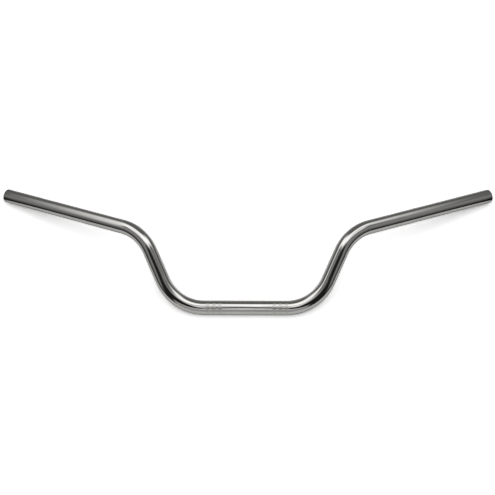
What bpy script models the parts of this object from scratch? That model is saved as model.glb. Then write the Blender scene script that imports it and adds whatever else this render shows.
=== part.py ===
"""A one-piece motorcycle handlebar: a bent steel tube with a tapped bush in each end.

The bar lies as it would on a table. The origin is the middle of the clamp section's axis, +X runs
along the clamp section to the rider's left, +Y towards the grip ends, and +Z up.
"""

import math

import bpy
from mathutils import Quaternion, Vector

# Driving dimensions, in metres.
TUBE_DIAMETER = 0.0222
TUBE_WALL = 0.0020
BEND_RADIUS = 0.070  # of the tube's axis, the same in all four bends
RIM_CHAMFER = 0.0004

# Corners of the bar's axis on the rider's left, before they are rounded to the bend radius.
CLAMP_CORNER = Vector((0.108, 0.0, 0.0))
RISER_CORNER = Vector((0.160, 0.1065, 0.0475))
GRIP_END_X = 0.3952
GRIP_END_Y = 0.207

BUSH_LENGTH = 0.020
BUSH_RECESS = 0.001  # from the tube's end face to the bush
BUSH_CHAMFER = 0.0005
FIT_GAP = 0.0003  # between the bush and the bore
TAPPED_DIAMETER = 0.0068  # the bore of an M8 thread
MOUTH_CHAMFER = 0.001

# Fineness.
STEPS_PER_BEND = 11
TUBE_SIDES = 40
BUSH_SIDES = 32
CHAMFER_SEGMENTS = 2
SHARP_ANGLE = math.radians(40)

CHROME = (0.60, 0.60, 0.59, 1.0)
BARE_STEEL = (0.42, 0.41, 0.39, 1.0)


def clear_scene():
    for obj in list(bpy.data.objects):
        bpy.data.objects.remove(obj, do_unlink=True)


def new_collection(name):
    collection = bpy.data.collections.new(name)
    bpy.context.scene.collection.children.link(collection)
    return collection


def metal(name, colour, roughness):
    material = bpy.data.materials.new(name)
    material.use_nodes = True
    shader = material.node_tree.nodes["Principled BSDF"]
    shader.inputs["Base Color"].default_value = colour
    shader.inputs["Metallic"].default_value = 1.0
    shader.inputs["Roughness"].default_value = roughness
    return material


def grip_end():
    """The axis's end, low enough for the end rim to rest on the same table as the clamp section."""
    level_end = Vector((GRIP_END_X, GRIP_END_Y, 0.0))
    slope = (level_end - RISER_CORNER).normalized().z
    radius = TUBE_DIAMETER / 2
    return level_end - Vector((0.0, 0.0, radius * (1 - math.sqrt(1 - slope**2))))


def grip_direction():
    """The way the rider's left grip points, out of the bar."""
    return (grip_end() - RISER_CORNER).normalized()


def bend(before, corner, after):
    """Points along the arc that rounds one corner of the axis."""
    back = (before - corner).normalized()
    ahead = (after - corner).normalized()
    turn = math.pi - back.angle(ahead)
    centre = corner + (back + ahead).normalized() * BEND_RADIUS / math.cos(turn / 2)
    start = corner + back * BEND_RADIUS * math.tan(turn / 2) - centre
    across = ahead.cross(back)
    turns = [turn * step / STEPS_PER_BEND for step in range(STEPS_PER_BEND + 1)]
    return [centre + Quaternion(across, angle) @ start for angle in turns]


def half_axis():
    """The axis from the bar's middle to the end of the rider's left grip."""
    middle = Vector((0.0, 0.0, 0.0))
    end = grip_end()
    lower_bend = bend(middle, CLAMP_CORNER, RISER_CORNER)
    upper_bend = bend(CLAMP_CORNER, RISER_CORNER, end)
    return [middle, *lower_bend, *upper_bend, end]


def tube_curve(name, points):
    """A round tube skin along the points, open at both ends."""
    curve = bpy.data.curves.new(name, "CURVE")
    curve.dimensions = "3D"
    curve.bevel_depth = TUBE_DIAMETER / 2
    curve.bevel_resolution = TUBE_SIDES // 2 - 2
    spline = curve.splines.new("POLY")
    spline.points.add(len(points) - 1)
    for spline_point, point in zip(spline.points, points):
        spline_point.co = (*point, 1.0)
    return bpy.data.objects.new(name, curve)


def add_mirror(obj):
    mirror = obj.modifiers.new("Other side", "MIRROR")
    mirror.use_axis = (True, False, False)
    mirror.merge_threshold = 0.0001


def add_wall(obj):
    wall = obj.modifiers.new("Wall", "SOLIDIFY")
    wall.thickness = TUBE_WALL
    wall.offset = -1.0
    wall.use_even_offset = True


def add_rim_chamfer(obj):
    chamfer = obj.modifiers.new("Rim chamfer", "BEVEL")
    chamfer.width = RIM_CHAMFER
    chamfer.segments = CHAMFER_SEGMENTS
    chamfer.limit_method = "ANGLE"
    chamfer.angle_limit = math.radians(60)


def as_mesh_object(obj, collection):
    """A mesh object of the same name and place, with the modifiers applied."""
    graph = bpy.context.evaluated_depsgraph_get()
    mesh = bpy.data.meshes.new_from_object(obj.evaluated_get(graph))
    place = obj.matrix_world.copy()
    name = obj.name
    bpy.data.objects.remove(obj)
    result = bpy.data.objects.new(name, mesh)
    result.matrix_world = place
    collection.objects.link(result)
    mesh.shade_smooth()
    mesh.set_sharp_from_angle(angle=SHARP_ANGLE)
    return result


def make_tube(collection):
    skin = tube_curve("handlebar_tube", half_axis())
    collection.objects.link(skin)
    add_mirror(skin)
    add_wall(skin)
    add_rim_chamfer(skin)
    tube = as_mesh_object(skin, collection)
    tube.data.materials.clear()
    tube.data.materials.append(metal("chrome", CHROME, 0.08))
    return tube


def bush_profile():
    """Half section of the bush, its outer face at z = 0 and its body below, down the outside first."""
    outside = TUBE_DIAMETER / 2 - TUBE_WALL - FIT_GAP
    bore = TAPPED_DIAMETER / 2
    return [
        (outside - BUSH_CHAMFER, 0.0),
        (outside, -BUSH_CHAMFER),
        (outside, -BUSH_LENGTH + BUSH_CHAMFER),
        (outside - BUSH_CHAMFER, -BUSH_LENGTH),
        (bore, -BUSH_LENGTH),
        (bore, -MOUTH_CHAMFER),
        (bore + MOUTH_CHAMFER, 0.0),
    ]


def turned_mesh(name, profile):
    """A closed ring mesh: the profile turned about local Z."""
    mesh = bpy.data.meshes.new(name)
    count = len(profile)
    corners = [(radius, 0.0, height) for radius, height in profile]
    mesh.from_pydata(corners, [(i, (i + 1) % count) for i in range(count)], [])
    profile_object = bpy.data.objects.new(name, mesh)
    turn = profile_object.modifiers.new("Turn", "SCREW")
    turn.steps = BUSH_SIDES
    turn.render_steps = BUSH_SIDES
    turn.use_merge_vertices = True
    turn.merge_threshold = 0.00001
    return profile_object


def make_bush(collection, name, outward, end, steel):
    """A bush in the grip end whose outward direction and end centre are given."""
    profile_object = turned_mesh(name, bush_profile())
    collection.objects.link(profile_object)
    bush = as_mesh_object(profile_object, collection)
    bush.location = end - outward * BUSH_RECESS
    bush.rotation_mode = "QUATERNION"
    bush.rotation_quaternion = outward.to_track_quat("Z", "Y")
    bush.data.materials.append(steel)
    return bush


def main():
    clear_scene()
    collection = new_collection("handlebar")
    tube = make_tube(collection)
    steel = metal("bare_steel", BARE_STEEL, 0.35)
    for name, side in (("left_bar_end_bush", 1), ("right_bar_end_bush", -1)):
        mirrored = Vector((side, 1, 1))
        bush = make_bush(collection, name, grip_direction() * mirrored, grip_end() * mirrored, steel)
        bush.parent = tube


main()
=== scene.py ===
"""The looks of a chrome motorcycle handlebar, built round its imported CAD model.

The tube is remade on the CAD's own axis, with three bands of diamond knurling on each side of the
clamp section and rounded end rims. The bush in each end gets a real M8 thread. Lengths are in metres.
+X is the rider's left, +Y runs towards the grip ends, and +Z is up.
"""

import math

import bpy
from mathutils import Matrix, Quaternion, Vector


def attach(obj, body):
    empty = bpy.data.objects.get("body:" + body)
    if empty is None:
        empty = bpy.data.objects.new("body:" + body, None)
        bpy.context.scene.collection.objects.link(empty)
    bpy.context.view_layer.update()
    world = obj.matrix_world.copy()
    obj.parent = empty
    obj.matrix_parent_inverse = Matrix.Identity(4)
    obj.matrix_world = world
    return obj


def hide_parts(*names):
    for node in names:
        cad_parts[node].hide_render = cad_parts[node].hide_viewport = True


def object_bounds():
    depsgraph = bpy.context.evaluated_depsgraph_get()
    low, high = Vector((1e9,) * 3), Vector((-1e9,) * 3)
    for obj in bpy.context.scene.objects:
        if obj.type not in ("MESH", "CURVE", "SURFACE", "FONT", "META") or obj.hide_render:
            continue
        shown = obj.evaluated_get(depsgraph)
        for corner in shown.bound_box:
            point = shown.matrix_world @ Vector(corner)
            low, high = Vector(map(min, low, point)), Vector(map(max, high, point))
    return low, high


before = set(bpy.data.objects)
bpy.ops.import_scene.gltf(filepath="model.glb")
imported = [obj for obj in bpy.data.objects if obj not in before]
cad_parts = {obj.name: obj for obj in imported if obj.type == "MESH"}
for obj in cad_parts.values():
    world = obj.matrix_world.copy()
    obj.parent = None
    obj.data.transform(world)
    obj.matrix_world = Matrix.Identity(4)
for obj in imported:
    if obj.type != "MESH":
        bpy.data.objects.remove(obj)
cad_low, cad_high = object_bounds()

WHITE = (1.0, 1.0, 1.0, 1.0)

# The bar's axis on the rider's left, as in the CAD source.
ALONG = Vector((1.0, 0.0, 0.0))
MIDDLE = Vector((0.0, 0.0, 0.0))
CLAMP_CORNER = Vector((0.108, 0.0, 0.0))
RISER_CORNER = Vector((0.160, 0.1065, 0.0475))
GRIP_END_X = 0.3952
GRIP_END_Y = 0.207
BEND_RADIUS = 0.070

# The tube.
OUTER_RADIUS = 0.0111
BORE_RADIUS = 0.0091
TUBE_SIDES = 160
BEND_STEP = math.radians(2.0)
STRAIGHT_STEP = 0.012
ROUNDING = 1e-6  # of a step, to ignore when counting steps
RIM_RADIUS = 0.0007
RIM_STEPS = 5
BORE_CHAMFER = 0.0003
BORE_END_GAP = 0.001  # from the end face to the nearest plain ring in the bore

# The knurling: bands of small pyramids, whose crests are flush with the tube.
KNURL_ZONE_CENTRE = 0.0505  # from the middle of the two zones
KNURL_OFFSET = 0.0029  # of both zones, towards the rider's left
KNURL_BANDS = 3
KNURL_BAND_PITCH = 0.0092
KNURL_BAND_WIDTH = 0.0059
KNURL_ROWS = 8  # half diamonds along a band
KNURL_DEPTH = 0.00003
KNURL_MARGIN = 0.00012  # plain metal that fades into a band
KNURL_CLEARANCE = 0.6 * KNURL_BAND_WIDTH  # from a band's middle to the nearest plain ring

# The tapped bush in each end.
BUSH_RADIUS = 0.0088
BUSH_LENGTH = 0.020
BUSH_RECESS = 0.001
BUSH_CHAMFER = 0.0005
BUSH_SIDES = 64
BUSH_FACE_RADII = (0.0048, 0.0062, 0.0075)  # rings on its outer face
BUSH_SHARP_ANGLE = math.radians(35)
COUNTERSINK_RADIUS = 0.0044  # at the bush's face
THREAD_PITCH = 0.00125
THREAD_MINOR_RADIUS = 0.00332
THREAD_MAJOR_RADIUS = 0.0040
THREAD_ROOT_FLAT = 0.125  # of the pitch
THREAD_CREST_FLAT = 0.25  # of the pitch
THREAD_STEPS_PER_TURN = 12

# The chrome. Noise scales are in features per metre, and ranges of noise are (low, high).
CHROME_BRIGHT = (0.56, 0.554, 0.532, 1.0)
CHROME_CLOUDY = (0.53, 0.522, 0.50, 1.0)
# Painted shade: a darker chrome colour for the knurl's grooves, standing in for the shade that falls in
# them.
CHROME_GROOVE_SHADE = (0.51, 0.50, 0.475, 1.0)
CHROME_EDGE_TINT = (0.55, 0.55, 0.55, 1.0)
HAZE_SCALE = 60.0
HAZE_COLOUR_RANGE = (0.45, 0.75)
HAZE_ROUGH_RANGE = (0.35, 0.8)
HAZE_ROUGHNESS = (0.035, 0.075)
POLISH_SCALE = (900.0, 60.0, 60.0)  # marks run round the tube, so they are short along it
POLISH_MARK_RANGE = (0.62, 0.85)
POLISH_MARK_ROUGHNESS = 0.05
KNURL_ROUGHNESS = 0.05
POLISH_BUMP = 0.15

# The bushes' turned steel.
STEEL_CLEAN = (0.42, 0.41, 0.39, 1.0)
STEEL_STAINED = (0.30, 0.28, 0.26, 1.0)
STAIN_SCALE = 350.0
STAIN_RANGE = (0.4, 0.7)
TOOL_MARK_SCALE = 9000.0
TOOL_MARK_RANGE = (0.3, 0.7)
TOOL_MARK_ROUGHNESS = (0.28, 0.42)
TOOL_MARK_BUMP = 0.5
BUMP_DISTANCE = 0.00002  # of both metals

# The camera, in front of the bar and well above it.
CAMERA_PLACE = Vector((0.0281, -0.6248, 1.1971))
CAMERA_PITCH = math.radians(58.526)  # below the horizon
CAMERA_YAW = math.radians(-2.03)
CAMERA_ROLL = math.radians(-1.62)
CAMERA_LENS = 64.42
CAMERA_SENSOR = 36.0
CAMERA_CLIP_START = 0.01

# The paper that the bar lies on. The camera sees it bleached, as in product photography, and the
# chrome sees it as it is, with a dark table to either side of it.
FLOOR_SIZE = 12.0
PAPER = (0.80, 0.80, 0.80, 1.0)
PAPER_ROUGHNESS = 0.8
PAPER_HALF_WIDTH = 0.41
PAPER_EDGE_BLUR = 0.02
DARK_TABLE = (0.01, 0.01, 0.01, 1.0)
BLEACHED_PAPER = (1.35, 1.35, 1.35, 1.0)
FAR_PAPER = (0.7, 1.3)  # distances from the bar between which the camera's bleaching grows
FAR_PAPER_GLOW = (0.2, 1.3)

# The lamp that lights the paper. The chrome doesn't see it.
FLOOR_LIGHT_SIZE = (2.2, 1.9)
FLOOR_LIGHT_PLACE = Vector((0.0, 0.0, 0.85))
FLOOR_LIGHT_POWER = 17.6

# The softbox over the bar, as the chrome sees it. Places on it are in units of its height: across runs
# to the rider's left, back runs away from the camera, and aside is across without its sign.
SOFTBOX_HEIGHT = 1.2
SOFTBOX_REACH = 2.0
SOFTBOX_STRENGTH = 1.52
SOFTBOX_LEFT_EDGE = (0.54, 1.36)
SOFTBOX_LEFT_SLANT = 0.17
SOFTBOX_RIGHT_EDGE = (0.68, 1.62)
SOFTBOX_RIGHT_SLANT = 0.27
SOFTBOX_REAR_EDGE = 0.58
SOFTBOX_REAR_SLANT = 0.05
SOFTBOX_REAR_BOW = 1.23
SOFTBOX_REAR_BLUR = 0.16
SOFTBOX_REAR_BLUR_ASIDE = 1.1
SOFTBOX_FRONT_EDGE = (-0.20, 0.05)
SOFTBOX_FRONT_SLANTS = (-1.28, -1.45)  # on the rider's right and left
SOFTBOX_FRONT_BOW = 1.05
CENTRE_BLUR = 0.01  # half the width in which the front edge changes slant

# Low reflectors: one in front of the clamp section, and a slanted one beside each upper bend.
REFLECTOR_HEIGHT = 0.3
REFLECTOR_REACH = 0.40
MIDDLE_REFLECTOR_STRENGTH = 1.35
MIDDLE_REFLECTOR_SIDE_EDGE = (0.28, 0.40)
MIDDLE_REFLECTOR_FRONT_EDGE = (-0.31, -0.26)
MIDDLE_REFLECTOR_FRONT_BOW = 2.0
MIDDLE_REFLECTOR_REAR_EDGE = (-0.24, -0.06)
SIDE_REFLECTOR_STRENGTH = 1.1
SIDE_REFLECTOR_INNER_EDGE = (0.42, 0.60)
SIDE_REFLECTOR_OUTER_EDGE = (1.05, 1.25)
SIDE_REFLECTOR_SLANT = 0.35
SIDE_REFLECTOR_PLACE = 0.07
SIDE_REFLECTOR_HALF_DEPTH = (0.09, 0.20)

# The studio's walls. A height here is a direction's z, and a bearing the slope of its heading from
# straight in front. Across and back are as on the softbox. The light strip in front narrows upwards
# between two dark openings.
LEAST_UPWARD = 0.02  # the least z that a direction is divided by
LEAST_FORWARD = 0.001  # the same for its part towards the front
STRIP_MIDDLE_HEIGHTS = (0.41, 0.74)
STRIP_MIDDLE = (-0.14, -0.03)
STRIP_WIDTH_HEIGHTS = (0.41, 0.76)
STRIP_HALF_WIDTH = (0.62, 0.04)
STRIP_EDGE_BLUR = 0.07
STRIP_LEVEL_HEIGHTS = (0.38, 0.8)
STRIP_LEVEL = (0.43, 1.12)
SIDE_WALL_HEIGHTS = (0.02, 0.60)
SIDE_WALL_LEVEL = (0.05, 0.29)
SIDE_WALL_BEARINGS = (1.02, 1.62)
FRONT_DARKNESS = 0.018
PHOTOGRAPHER_ACROSS = -0.02
PHOTOGRAPHER_HALF_WIDTH = (0.03, 0.07)
PHOTOGRAPHER_BACK = -0.42
PHOTOGRAPHER_HALF_DEPTH = (0.20, 0.24)
REAR_WALL_LEVEL = 0.18
REAR_WALL_BLEND = (0.03, 0.14)  # of a direction's y
FRONT_TO_REAR_BLEND = (-0.38, 0.21)  # of its place back


def grip_end():
    """The axis's end, low enough for the end rim to rest on the same table as the clamp section."""
    level_end = Vector((GRIP_END_X, GRIP_END_Y, 0.0))
    slope = (level_end - RISER_CORNER).normalized().z
    return level_end - Vector((0.0, 0.0, OUTER_RADIUS * (1 - math.sqrt(1 - slope**2))))


def find_legs():
    """(length, hinge, angle) of each straight from the bar's middle to a grip end.

    The hinge and the angle are those of the bend that follows it.
    """
    corners = [MIDDLE, CLAMP_CORNER, RISER_CORNER, grip_end()]
    legs = []
    used = 0.0
    for before, corner, after in zip(corners, corners[1:], corners[2:]):
        heading = (corner - before).normalized()
        ahead = (after - corner).normalized()
        angle = heading.angle(ahead)
        trim = BEND_RADIUS * math.tan(angle / 2)
        legs.append(((corner - before).length - used - trim, heading.cross(ahead).normalized(), angle))
        used = trim
    legs.append(((corners[3] - corners[2]).length - used, Vector((0.0, 0.0, 1.0)), 0.0))
    return legs


LEGS = find_legs()
HALF_LENGTH = sum(straight + BEND_RADIUS * angle for straight, hinge, angle in LEGS)


def section_at(distance):
    """The axis point at a distance from the bar's middle, and two directions across the tube there.

    A distance below zero is on the rider's right, which mirrors the left.
    """
    left = abs(distance)
    place, turned = MIDDLE.copy(), Quaternion()
    for straight, hinge, angle in LEGS:
        heading = turned @ ALONG
        step = min(left, straight)
        place += heading * step
        left -= step
        swept = min(left / BEND_RADIUS, angle)
        to_centre = hinge.cross(heading) * BEND_RADIUS
        turn = Quaternion(hinge, swept)
        place += to_centre - turn @ to_centre
        turned = turn @ turned
        left -= swept * BEND_RADIUS
    side = Vector((-1.0 if distance < 0 else 1.0, 1.0, 1.0))
    across = [turned @ Vector((0.0, 1.0, 0.0)), turned @ Vector((0.0, 0.0, 1.0))]
    return place * side, [direction * side for direction in across]


def evenly(start, end, step):
    """Distances from start up to but not including end, about one step apart."""
    count = max(1, math.ceil((end - start) / step - ROUNDING))
    return [start + (end - start) * i / count for i in range(count)]


def plain_distances():
    """Where the tube has rings between the bar's middle and a grip end, the end left out."""
    distances = []
    start = 0.0
    for straight, hinge, angle in LEGS:
        bend_start = start + straight
        bend_end = bend_start + BEND_RADIUS * angle
        distances += evenly(start, bend_start, STRAIGHT_STEP)
        if angle:
            distances += evenly(bend_start, bend_end, BEND_RADIUS * BEND_STEP)
        start = bend_end
    return distances


def knurl_bands(side):
    """The (start, end) of each knurled band on one side, 1 for the rider's left and -1 for the right."""
    centre = KNURL_ZONE_CENTRE + side * KNURL_OFFSET
    first = centre - KNURL_BAND_PITCH * (KNURL_BANDS - 1) / 2 - KNURL_BAND_WIDTH / 2
    starts = [first + KNURL_BAND_PITCH * band for band in range(KNURL_BANDS)]
    return [(start, start + KNURL_BAND_WIDTH) for start in starts]


def outer_rings(side):
    """(distance, radius, knurl row or None) of each ring of the outside and the rim, on one side."""
    bands = knurl_bands(side)
    rings = []
    for start, end in bands:
        rings += [(start - KNURL_MARGIN, OUTER_RADIUS, None), (end + KNURL_MARGIN, OUTER_RADIUS, None)]
        for row in range(KNURL_ROWS + 1):
            distance = start + (end - start) * row / KNURL_ROWS
            rings.append((distance, OUTER_RADIUS, row))
    for distance in plain_distances():
        clear = all(abs(distance - (start + end) / 2) > KNURL_CLEARANCE for start, end in bands)
        if clear and distance < HALF_LENGTH - 2 * RIM_RADIUS:
            rings.append((distance, OUTER_RADIUS, None))
    for step in range(RIM_STEPS + 1):
        angle = math.pi / 2 * step / RIM_STEPS
        inset = RIM_RADIUS * (1 - math.sin(angle))
        rings.append((HALF_LENGTH - inset, OUTER_RADIUS - RIM_RADIUS * (1 - math.cos(angle)), None))
    return sorted(rings, key=lambda ring: (ring[0], -ring[1]))


def bore_rings():
    """The same for the inside of half the tube, from the end face to the middle, half as finely."""
    rings = [
        (HALF_LENGTH, BORE_RADIUS + BORE_CHAMFER, None),
        (HALF_LENGTH - BORE_CHAMFER, BORE_RADIUS, None),
    ]
    inside = [distance for distance in plain_distances()[::2] if distance < HALF_LENGTH - BORE_END_GAP]
    return rings + [(distance, BORE_RADIUS, None) for distance in reversed(inside)]


def tube_rings():
    """All the tube's rings in order: out over the rider's left, back through the bore, and home."""
    inside = bore_rings()
    left = outer_rings(1) + inside
    right = outer_rings(-1) + inside
    mirrored = [(-distance, radius, row) for distance, radius, row in reversed(right)]
    return left + [ring for ring in mirrored if ring[0] != 0.0]


def is_valley(row, side):
    """Whether a ring's corner is pressed in: every other one, between the two edges of a band."""
    return row is not None and 0 < row < KNURL_ROWS and (row + side) % 2 == 0


def grid_faces(ring_count, sides):
    """Quads of a grid that closes on itself both ways, as corner indices."""
    faces = []
    for ring in range(ring_count):
        start = ring * sides
        next_start = (ring + 1) % ring_count * sides
        for side in range(sides):
            beside = (side + 1) % sides
            faces.append((start + side, start + beside, next_start + beside, next_start + side))
    return faces


def tube_faces(rings):
    """Quads, but triangles that follow the grooves in the knurling; and whether each is smooth."""
    faces, smooth = [], []
    for index, quad in enumerate(grid_faces(len(rings), TUBE_SIDES)):
        ring, side = divmod(index, TUBE_SIDES)
        row = rings[ring][2]
        following_row = rings[(ring + 1) % len(rings)][2]
        if row is None or following_row is None:
            faces.append(quad)
            smooth.append(True)
            continue
        a, b, c, d = quad
        groove_from_a = (row + side) % 2 == 0
        faces += [(a, b, c), (a, c, d)] if groove_from_a else [(b, c, d), (b, d, a)]
        smooth += [False, False]
    return faces, smooth


def add_attribute(mesh, name, kind, values):
    attribute = mesh.attributes.new(name, kind, "POINT")
    attribute.data.foreach_set("vector" if kind == "FLOAT_VECTOR" else "value", values)


def mesh_object(name, corners, faces):
    mesh = bpy.data.meshes.new(name)
    mesh.from_pydata(corners, [], faces)
    mesh.validate()
    obj = bpy.data.objects.new(name, mesh)
    bpy.context.scene.collection.objects.link(obj)
    return obj


def level_square(name, half, height):
    """A square mesh object, half its side given, that faces up at a height over the origin."""
    corners = [(-half, -half, 0.0), (half, -half, 0.0), (half, half, 0.0), (-half, half, 0.0)]
    square = mesh_object(name, corners, [(0, 1, 2, 3)])
    square.location.z = height
    return square


def make_tube(material):
    """The bent tube. Its "straightened" attribute is where each point would be on an unbent bar."""
    rings = tube_rings()
    corners, straightened, groove_shade, knurled = [], [], [], []
    for distance, radius, row in rings:
        centre, (across, up) = section_at(distance)
        for side in range(TUBE_SIDES):
            angle = 2 * math.pi * side / TUBE_SIDES
            cut = is_valley(row, side)
            reach = radius - KNURL_DEPTH if cut else radius
            corners.append(centre + (across * math.cos(angle) + up * math.sin(angle)) * reach)
            straightened += [distance, radius * math.cos(angle), radius * math.sin(angle)]
            # Marks the knurl's valleys, where the chrome gets its painted shade.
            groove_shade.append(1.0 if cut else 0.0)
            knurled.append(0.0 if row is None else 1.0)
    faces, smooth = tube_faces(rings)
    tube = mesh_object("bent_tube", corners, faces)
    mesh = tube.data
    mesh.polygons.foreach_set("use_smooth", smooth)
    add_attribute(mesh, "straightened", "FLOAT_VECTOR", straightened)
    add_attribute(mesh, "groove_shade", "FLOAT", groove_shade)
    add_attribute(mesh, "knurled", "FLOAT", knurled)
    mesh.materials.append(material)
    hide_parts("handlebar_tube")
    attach(tube, "root")


def thread_radius(depth, angle):
    """The bore's radius at a depth below the bush's face and an angle round it."""
    turn = (depth / THREAD_PITCH + angle / (2 * math.pi)) % 1.0
    from_root = abs(2 * turn - 1) - THREAD_ROOT_FLAT
    rise = min(1.0, max(0.0, from_root / (1 - THREAD_ROOT_FLAT - THREAD_CREST_FLAT)))
    threaded = THREAD_MAJOR_RADIUS + (THREAD_MINOR_RADIUS - THREAD_MAJOR_RADIUS) * rise
    return max(threaded, COUNTERSINK_RADIUS - depth)


def bush_rings():
    """(height, radius or None where the thread sets it) of each ring, down the outside first."""
    edge = BUSH_RADIUS - BUSH_CHAMFER
    rings = [(0.0, edge), (-BUSH_CHAMFER, BUSH_RADIUS), (-BUSH_LENGTH + BUSH_CHAMFER, BUSH_RADIUS)]
    rings += [(-BUSH_LENGTH, edge), (-BUSH_LENGTH, (edge + THREAD_MAJOR_RADIUS) / 2)]
    steps = round(BUSH_LENGTH / THREAD_PITCH * THREAD_STEPS_PER_TURN)
    rings += [(-BUSH_LENGTH * (1 - step / steps), None) for step in range(steps + 1)]
    return rings + [(0.0, radius) for radius in BUSH_FACE_RADII]


def make_bush(name, node, side, material):
    rings = bush_rings()
    corners = []
    for height, radius in rings:
        for step in range(BUSH_SIDES):
            angle = 2 * math.pi * step / BUSH_SIDES
            reach = thread_radius(-height, angle) if radius is None else radius
            corners.append(Vector((reach * math.cos(angle), reach * math.sin(angle), height)))
    bush = mesh_object(name, corners, grid_faces(len(rings), BUSH_SIDES))
    bush.data.shade_smooth()
    bush.data.set_sharp_from_angle(angle=BUSH_SHARP_ANGLE)
    bush.data.flip_normals()
    mirrored = Vector((side, 1.0, 1.0))
    outward = (grip_end() - RISER_CORNER).normalized() * mirrored
    face_centre = grip_end() * mirrored - outward * BUSH_RECESS
    turn = outward.to_track_quat("Z", "Y").to_matrix().to_4x4()
    bush.matrix_world = Matrix.Translation(face_centre) @ turn
    bush.data.materials.append(material)
    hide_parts(node)
    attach(bush, "root")


class Nodes:
    """A short way to write a node tree."""

    def __init__(self, tree):
        self.tree = tree

    def add(self, kind, **settings):
        node = self.tree.nodes.new(kind)
        for name, value in settings.items():
            setattr(node, name, value)
        return node

    def link(self, source, target):
        self.tree.links.new(source, target)

    def feed(self, target, value):
        if hasattr(value, "is_output"):
            self.link(value, target)
        else:
            target.default_value = value

    def math(self, operation, a, b=0.0, c=0.0):
        node = self.add("ShaderNodeMath", operation=operation)
        for socket, value in zip(node.inputs, (a, b, c)):
            self.feed(socket, value)
        return node.outputs[0]

    def magnitude(self, value):
        """value without its sign."""
        return self.math("ABSOLUTE", value)

    def gap(self, value, centre):
        """How far value is from centre, either way."""
        return self.magnitude(self.math("SUBTRACT", value, centre))

    def scaled(self, value, factor, plus):
        """value * factor + plus."""
        return self.math("MULTIPLY_ADD", value, factor, plus)

    def product(self, first, *others):
        for other in others:
            first = self.math("MULTIPLY", first, other)
        return first

    def between(self, value, low, high, to_low=0.0, to_high=1.0):
        """value, mapped smoothly from low..high to to_low..to_high."""
        node = self.add("ShaderNodeMapRange", interpolation_type="SMOOTHSTEP")
        for socket, number in zip(node.inputs, (value, low, high, to_low, to_high)):
            self.feed(socket, number)
        return node.outputs[0]

    def fade(self, value, low, high):
        """1 up to low, falling smoothly to 0 at high."""
        return self.between(value, low, high, 1.0, 0.0)

    def blend(self, factor, first, second):
        node = self.add("ShaderNodeMix", data_type="FLOAT")
        self.feed(node.inputs[0], factor)
        self.feed(node.inputs[2], first)
        self.feed(node.inputs[3], second)
        return node.outputs[0]

    def mix(self, factor, first, second):
        """The same for colours."""
        node = self.add("ShaderNodeMix", data_type="RGBA")
        self.feed(node.inputs[0], factor)
        self.feed(node.inputs[6], first)
        self.feed(node.inputs[7], second)
        return node.outputs[2]

    def split(self, vector):
        """A vector's x, y and z."""
        node = self.add("ShaderNodeSeparateXYZ")
        self.link(vector, node.inputs[0])
        return node.outputs

    def noise(self, vector, scale, detail):
        node = self.add("ShaderNodeTexNoise")
        self.link(vector, node.inputs["Vector"])
        node.inputs["Scale"].default_value = scale
        node.inputs["Detail"].default_value = detail
        return node.outputs["Fac"]

    def stretched(self, vector, scale):
        node = self.add("ShaderNodeMapping")
        self.link(vector, node.inputs["Vector"])
        node.inputs["Scale"].default_value = scale
        return node.outputs["Vector"]

    def attribute(self, name, output):
        return self.add("ShaderNodeAttribute", attribute_name=name).outputs[output]

    def own_place(self):
        """The shaded point in its object's own coordinates."""
        return self.add("ShaderNodeTexCoord").outputs["Object"]

    def seen_by_camera(self):
        """1 for what the camera sees directly, and 0 for reflections and light."""
        return self.add("ShaderNodeLightPath").outputs["Is Camera Ray"]

    def bump(self, height, strength, shader):
        bump = self.add("ShaderNodeBump")
        bump.inputs["Strength"].default_value = strength
        bump.inputs["Distance"].default_value = BUMP_DISTANCE
        self.link(height, bump.inputs["Height"])
        self.link(bump.outputs["Normal"], shader.inputs["Normal"])


def new_material(name):
    material = bpy.data.materials.new(name)
    material.use_nodes = True
    nodes = Nodes(material.node_tree)
    return material, nodes, material.node_tree.nodes["Principled BSDF"]


def chrome():
    material, nodes, shader = new_material("polished_chrome")
    place = nodes.attribute("straightened", "Vector")
    groove_shade = nodes.attribute("groove_shade", "Fac")
    knurled = nodes.attribute("knurled", "Fac")
    haze = nodes.noise(place, HAZE_SCALE, detail=3.0)
    polish = nodes.noise(nodes.stretched(place, POLISH_SCALE), scale=1.0, detail=4.0)
    plated = nodes.mix(nodes.between(haze, *HAZE_COLOUR_RANGE), CHROME_BRIGHT, CHROME_CLOUDY)
    # Painted shade: the knurl's grooves get the darker chrome colour.
    nodes.link(nodes.mix(groove_shade, plated, CHROME_GROOVE_SHADE), shader.inputs["Base Color"])
    shader.inputs["Metallic"].default_value = 1.0
    shader.inputs["Specular Tint"].default_value = CHROME_EDGE_TINT
    rough = nodes.between(haze, *HAZE_ROUGH_RANGE, *HAZE_ROUGHNESS)
    rough = nodes.scaled(nodes.between(polish, *POLISH_MARK_RANGE), POLISH_MARK_ROUGHNESS, rough)
    rough = nodes.scaled(knurled, KNURL_ROUGHNESS, rough)
    nodes.link(rough, shader.inputs["Roughness"])
    nodes.bump(polish, POLISH_BUMP, shader)
    return material


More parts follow.
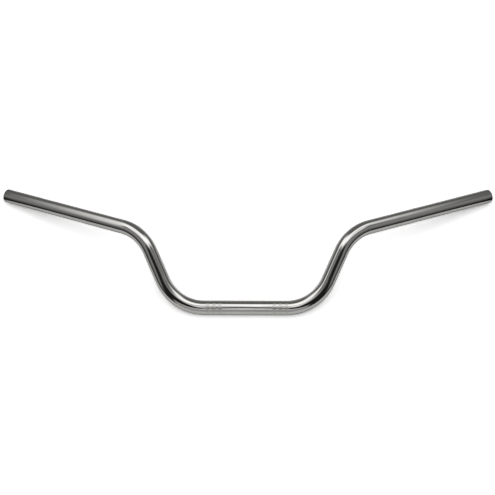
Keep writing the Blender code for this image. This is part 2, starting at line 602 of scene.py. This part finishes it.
def turned_steel():
    """Steel with fine tool marks in rings round the object's own Z."""
    material, nodes, shader = new_material("turned_steel")
    place = nodes.own_place()
    x, y, z = nodes.split(place)
    from_axis = nodes.math("SQRT", nodes.scaled(y, y, nodes.product(x, x)))
    ring_place = nodes.add("ShaderNodeCombineXYZ")
    nodes.link(from_axis, ring_place.inputs["X"])
    nodes.link(z, ring_place.inputs["Y"])
    tool_marks = nodes.noise(ring_place.outputs[0], TOOL_MARK_SCALE, detail=3.0)
    stain = nodes.noise(place, STAIN_SCALE, detail=4.0)
    colour = nodes.mix(nodes.between(stain, *STAIN_RANGE), STEEL_CLEAN, STEEL_STAINED)
    nodes.link(colour, shader.inputs["Base Color"])
    shader.inputs["Metallic"].default_value = 1.0
    rough = nodes.between(tool_marks, *TOOL_MARK_RANGE, *TOOL_MARK_ROUGHNESS)
    nodes.link(rough, shader.inputs["Roughness"])
    nodes.bump(tool_marks, TOOL_MARK_BUMP, shader)
    return material


def make_floor():
    floor = level_square("floor", FLOOR_SIZE / 2, cad_low.z)
    material, nodes, shader = new_material("white_paper")
    seen = nodes.seen_by_camera()
    place = nodes.own_place()
    aside = nodes.magnitude(nodes.split(place)["X"])
    beside = nodes.between(aside, PAPER_HALF_WIDTH, PAPER_HALF_WIDTH + PAPER_EDGE_BLUR)
    reflected = nodes.mix(beside, PAPER, DARK_TABLE)
    nodes.link(nodes.mix(seen, reflected, BLEACHED_PAPER), shader.inputs["Base Color"])
    distance = nodes.add("ShaderNodeVectorMath", operation="LENGTH")
    nodes.link(place, distance.inputs[0])
    glow = nodes.between(distance.outputs["Value"], *FAR_PAPER, *FAR_PAPER_GLOW)
    nodes.link(nodes.product(glow, seen), shader.inputs["Emission Strength"])
    shader.inputs["Emission Color"].default_value = WHITE
    shader.inputs["Roughness"].default_value = PAPER_ROUGHNESS
    shader.inputs["Specular IOR Level"].default_value = 0.0
    floor.data.materials.append(material)


def make_camera():
    data = bpy.data.cameras.new("camera")
    data.lens = CAMERA_LENS
    data.sensor_width = CAMERA_SENSOR
    data.clip_start = CAMERA_CLIP_START
    camera = bpy.data.objects.new("camera", data)
    camera.matrix_world = (
        Matrix.Translation(CAMERA_PLACE)
        @ Matrix.Rotation(-CAMERA_YAW, 4, "Z")
        @ Matrix.Rotation(math.pi / 2 - CAMERA_PITCH, 4, "X")
        @ Matrix.Rotation(CAMERA_ROLL, 4, "Z")
    )
    bpy.context.scene.collection.objects.link(camera)
    bpy.context.scene.camera = camera


def make_glow(name, height, reach, brightness):
    """A level sheet of light that faces down over the bar, and that only the metal sees.

    Its brightness is a function of the place on it, in units of its height.
    """
    sheet = level_square(name, reach, height)
    sheet.data.flip_normals()
    sheet.visible_camera = False
    sheet.visible_diffuse = False
    sheet.visible_shadow = False
    material = bpy.data.materials.new(name)
    material.use_nodes = True
    material.node_tree.nodes.clear()
    nodes = Nodes(material.node_tree)
    x, y, _ = nodes.split(nodes.own_place())
    across = nodes.math("DIVIDE", x, height)
    back = nodes.math("DIVIDE", y, height)
    emission = nodes.add("ShaderNodeEmission")
    nodes.link(brightness(nodes, across, back), emission.inputs["Strength"])
    clear = nodes.add("ShaderNodeBsdfTransparent")
    both = nodes.add("ShaderNodeAddShader")
    nodes.link(emission.outputs[0], both.inputs[0])
    nodes.link(clear.outputs[0], both.inputs[1])
    output = nodes.add("ShaderNodeOutputMaterial")
    nodes.link(both.outputs[0], output.inputs["Surface"])
    sheet.data.materials.append(material)


def softbox_brightness(nodes, across, back):
    """Full over the clamp section, fading outwards over the grips, with bowed front and rear edges."""
    aside = nodes.magnitude(across)
    aside_squared = nodes.product(aside, aside)
    left = nodes.fade(nodes.scaled(back, SOFTBOX_LEFT_SLANT, across), *SOFTBOX_LEFT_EDGE)
    right = nodes.math("SUBTRACT", nodes.product(back, SOFTBOX_RIGHT_SLANT), across)
    right = nodes.fade(right, *SOFTBOX_RIGHT_EDGE)
    rear = nodes.scaled(aside_squared, -SOFTBOX_REAR_BOW, nodes.scaled(aside, -SOFTBOX_REAR_SLANT, back))
    rear_blur = nodes.scaled(aside, SOFTBOX_REAR_BLUR_ASIDE, SOFTBOX_REAR_BLUR)
    rear = nodes.math("DIVIDE", nodes.math("SUBTRACT", rear, SOFTBOX_REAR_EDGE), rear_blur)
    rear = nodes.fade(rear, -0.5, 0.5)
    slant = nodes.between(across, -CENTRE_BLUR, CENTRE_BLUR, *SOFTBOX_FRONT_SLANTS)
    front = nodes.scaled(aside_squared, SOFTBOX_FRONT_BOW, nodes.scaled(aside, slant, back))
    front = nodes.between(front, *SOFTBOX_FRONT_EDGE)
    return nodes.product(left, right, rear, front, SOFTBOX_STRENGTH)


def reflector_brightness(nodes, across, back):
    aside = nodes.magnitude(across)
    front = nodes.scaled(nodes.product(aside, aside), MIDDLE_REFLECTOR_FRONT_BOW, back)
    middle = nodes.product(
        nodes.fade(aside, *MIDDLE_REFLECTOR_SIDE_EDGE),
        nodes.between(front, *MIDDLE_REFLECTOR_FRONT_EDGE),
        nodes.fade(back, *MIDDLE_REFLECTOR_REAR_EDGE),
        MIDDLE_REFLECTOR_STRENGTH,
    )
    centre_line = nodes.scaled(aside, SIDE_REFLECTOR_SLANT, SIDE_REFLECTOR_PLACE)
    beside = nodes.product(
        nodes.between(aside, *SIDE_REFLECTOR_INNER_EDGE),
        nodes.fade(aside, *SIDE_REFLECTOR_OUTER_EDGE),
        nodes.fade(nodes.gap(back, centre_line), *SIDE_REFLECTOR_HALF_DEPTH),
        SIDE_REFLECTOR_STRENGTH,
    )
    return nodes.math("ADD", middle, beside)


def make_floor_light():
    data = bpy.data.lights.new("floor_light", "AREA")
    data.shape = "RECTANGLE"
    data.size, data.size_y = FLOOR_LIGHT_SIZE
    data.energy = FLOOR_LIGHT_POWER
    light = bpy.data.objects.new("floor_light", data)
    light.location = FLOOR_LIGHT_PLACE
    light.visible_glossy = False
    light.visible_camera = False
    bpy.context.scene.collection.objects.link(light)


def light_strip(nodes, bearing, z):
    middle = nodes.between(z, *STRIP_MIDDLE_HEIGHTS, *STRIP_MIDDLE)
    half_width = nodes.between(z, *STRIP_WIDTH_HEIGHTS, *STRIP_HALF_WIDTH)
    outside = nodes.math("SUBTRACT", nodes.gap(bearing, middle), half_width)
    inside = nodes.fade(outside, -STRIP_EDGE_BLUR, STRIP_EDGE_BLUR)
    return nodes.product(inside, nodes.between(z, *STRIP_LEVEL_HEIGHTS, *STRIP_LEVEL))


def front_wall(nodes, bearing, z, side_wall, across, back):
    """What stands in front: the strip, the side walls' ends, and the photographer before them."""
    wall_ends = nodes.product(nodes.between(nodes.magnitude(bearing), *SIDE_WALL_BEARINGS), side_wall)
    lit = nodes.math("ADD", light_strip(nodes, bearing, z), wall_ends)
    lit = nodes.math("ADD", lit, FRONT_DARKNESS)
    photographer = nodes.product(
        nodes.fade(nodes.gap(across, PHOTOGRAPHER_ACROSS), *PHOTOGRAPHER_HALF_WIDTH),
        nodes.fade(nodes.gap(back, PHOTOGRAPHER_BACK), *PHOTOGRAPHER_HALF_DEPTH),
    )
    return nodes.product(lit, nodes.math("SUBTRACT", 1.0, photographer))


def make_world():
    """The rest of the studio as the metal sees it.

    It has dim walls, and in front a light strip between two dark openings, with the photographer
    standing before it. It doesn't light the paper.
    """
    world = bpy.data.worlds.new("studio")
    world.use_nodes = True
    bpy.context.scene.world = world
    world.cycles_visibility.diffuse = False
    nodes = Nodes(world.node_tree)
    x, y, z = nodes.split(nodes.add("ShaderNodeTexCoord").outputs["Generated"])
    # Across and back are where the direction meets a ceiling one unit up.
    up = nodes.math("MAXIMUM", z, LEAST_UPWARD)
    across = nodes.math("DIVIDE", x, up)
    back = nodes.math("DIVIDE", y, up)
    to_front = nodes.math("MAXIMUM", nodes.product(y, -1.0), LEAST_FORWARD)
    bearing = nodes.math("DIVIDE", x, to_front)
    side_wall = nodes.between(z, *SIDE_WALL_HEIGHTS, *SIDE_WALL_LEVEL)
    in_front = front_wall(nodes, bearing, z, side_wall, across, back)
    behind = nodes.blend(nodes.between(y, *REAR_WALL_BLEND), side_wall, REAR_WALL_LEVEL)
    walls = nodes.blend(nodes.between(back, *FRONT_TO_REAR_BLEND), in_front, behind)
    background = world.node_tree.nodes["Background"]
    nodes.link(nodes.blend(nodes.seen_by_camera(), walls, 1.0), background.inputs["Strength"])
    background.inputs["Color"].default_value = WHITE


def set_view_transform():
    settings = bpy.context.scene.view_settings
    settings.view_transform = "Standard"
    settings.look = "None"
    settings.exposure = 0.0
    settings.gamma = 1.0


def main():
    steel = turned_steel()
    make_tube(chrome())
    make_bush("left_bush", "left_bar_end_bush", 1, steel)
    make_bush("right_bush", "right_bar_end_bush", -1, steel)
    make_floor()
    make_camera()
    make_glow("softbox", SOFTBOX_HEIGHT, SOFTBOX_REACH, softbox_brightness)
    make_glow("reflectors", REFLECTOR_HEIGHT, REFLECTOR_REACH, reflector_brightness)
    make_floor_light()
    make_world()
    set_view_transform()


main()
